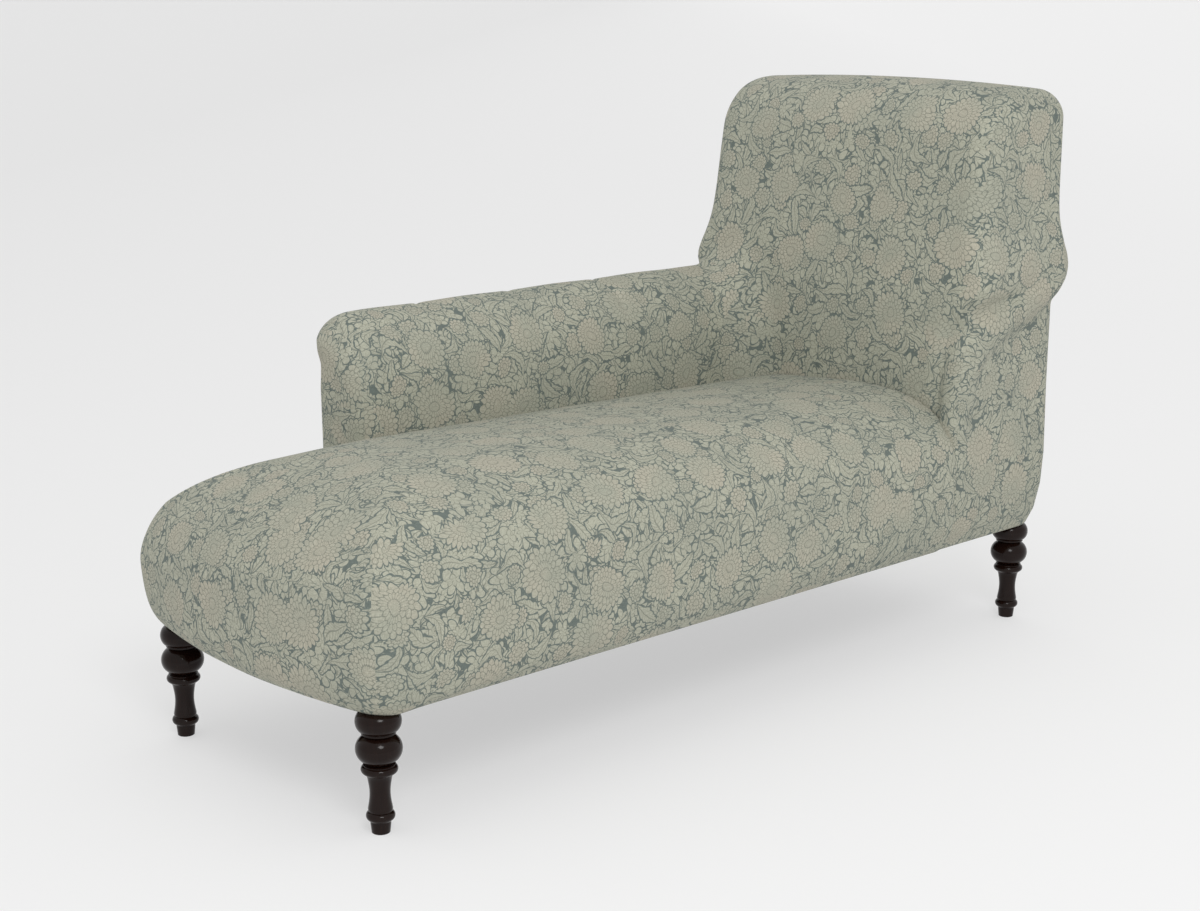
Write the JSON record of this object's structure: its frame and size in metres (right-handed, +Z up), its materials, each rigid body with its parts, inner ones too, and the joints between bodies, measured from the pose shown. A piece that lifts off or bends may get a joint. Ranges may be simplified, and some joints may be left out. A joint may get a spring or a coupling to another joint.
{
  "type": "chaise longue",
  "caption": "Right-hand chaise longue with a high back, low side back and short rolled arm in floral linen on turned dark wood legs",
  "frame": {"origin": "On the floor, half way along the length and half way across the width.", "axes": "+X runs along the seat from the foot end to the head end with the high back, +Y from the near side with the short arm to the far side with the low back, +Z up."},
  "size_m": [1.552, 0.683, 0.975],
  "materials": {
    "leg_wood": "polished dark stain",
    "frame_timber": "planed, unfinished",
    "steel": "bright",
    "webbing": "woven jute",
    "hessian": "open weave",
    "dust_cloth": "matte",
    "stuffing": "matte",
    "upholstery_fabric": "matte printed linen"
  },
  "bodies": {
    "root": {"arm_front_post": "frame_timber", "arm_hessian": "hessian", "arm_inside_cover": "upholstery_fabric", "arm_outside_cover": "upholstery_fabric", "arm_stuffing": "stuffing", "arm_tacking_rail": "frame_timber", "arm_top_rail": "frame_timber", "back_crest_rail": "frame_timber", "back_cross_rail_board": "frame_timber", "back_hessian": "hessian", "back_middle_rail": "frame_timber", "back_tacking_rail": "frame_timber", "back_webbing": "webbing", "bowed_foot_rail": "frame_timber", "dust_cover": "dust_cloth", "far_back_post": "frame_timber", "far_foot_block": "frame_timber", "far_head_block": "frame_timber", "far_long_rail": "frame_timber", "first_cross_rail_board": "frame_timber", "head_end_rail": "frame_timber", "high_back_stuffing": "stuffing", "inside_back_cover": "upholstery_fabric", "low_back_front_post": "frame_timber", "low_back_hessian": "hessian", "low_back_inside_cover": "upholstery_fabric", "low_back_outside_cover": "upholstery_fabric", "low_back_stuffing": "stuffing", "low_back_tacking_rail": "frame_timber", "low_back_top_rail": "frame_timber", "near_back_post": "frame_timber", "near_foot_block": "frame_timber", "near_head_block": "frame_timber", "near_long_rail": "frame_timber", "outside_back_cover": "upholstery_fabric", "seat_cover": "upholstery_fabric", "seat_springs": "steel", "seat_stuffing": "stuffing", "seat_webbing_crosswise": "webbing", "seat_webbing_lengthwise": "webbing", "second_cross_rail_board": "frame_timber", "spring_canvas": "hessian", "turned_legs": "leg_wood"}
  },
  "joints": []
}
